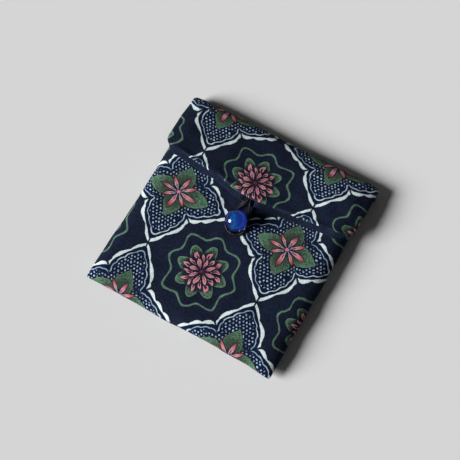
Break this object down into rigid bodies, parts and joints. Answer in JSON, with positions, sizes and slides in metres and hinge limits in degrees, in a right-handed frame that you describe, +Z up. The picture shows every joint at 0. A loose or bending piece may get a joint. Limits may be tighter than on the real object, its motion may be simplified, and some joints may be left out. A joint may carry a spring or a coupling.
{
  "type": "cotton jewellery pouch",
  "caption": "Flat square printed cotton pouch with a plain lining, a fold-over flap, and a twisted cord loop that catches round a round blue glass bead.",
  "frame": {"origin": "on the surface that the pouch lies on, under the middle of its outline", "axes": "+X to the right across the front, +Y from the bottom fold towards the crease that the flap turns on, +Z up out of the front"},
  "size_m": [0.1, 0.1, 0.021],
  "materials": {
    "printed_cotton": "brushed navy cotton with a block-print style lattice of blossoms in off-white, pale blue, green and coral",
    "lining_cotton": "plain woven navy cotton",
    "seam_cotton": "raw cotton seam allowance",
    "blue_glass": "polished fibre-optic cat's-eye glass",
    "sewing_thread": "polyester sewing thread",
    "waxed_cord": "twisted waxed cotton cord, dark brown"
  },
  "bodies": {
    "pocket": {"front_panel": "printed_cotton", "back_panel": "printed_cotton", "front_lining": "lining_cotton", "back_lining": "lining_cotton", "mouth_edge": "printed_cotton", "left_side_seam": "seam_cotton", "right_side_seam": "seam_cotton", "thread_knot": "sewing_thread"},
    "flap": {"flap_panel": "printed_cotton", "flap_lining": "lining_cotton", "flap_edge": "printed_cotton", "loop_tails": "waxed_cord"},
    "loop": {"cord_loop": "waxed_cord"},
    "bead": {"closure_bead": "blue_glass", "bead_thread": "sewing_thread"}
  },
  "joints": [
    {"name": "flap_fold", "type": "hinge", "parent": "pocket", "child": "flap", "pos_m": [0, 0.0503, 0.0042], "axis": [-1, 0, 0], "range_deg": [0, 160]},
    {"name": "loop_lift", "type": "hinge", "parent": "flap", "child": "loop", "pos_m": [0.0021, 0.0171, 0.01136], "axis": [-1, 0, 0], "range_deg": [0, 110], "deforming": ["cord_loop"]},
    {"name": "bead_tilt", "type": "hinge", "parent": "pocket", "child": "bead", "pos_m": [0.0015, 0.0045, 0.00959], "axis": [1, 0, 0], "range_deg": [-12, 12], "stiffness_Nm_per_rad": 0.0006}
  ]
}
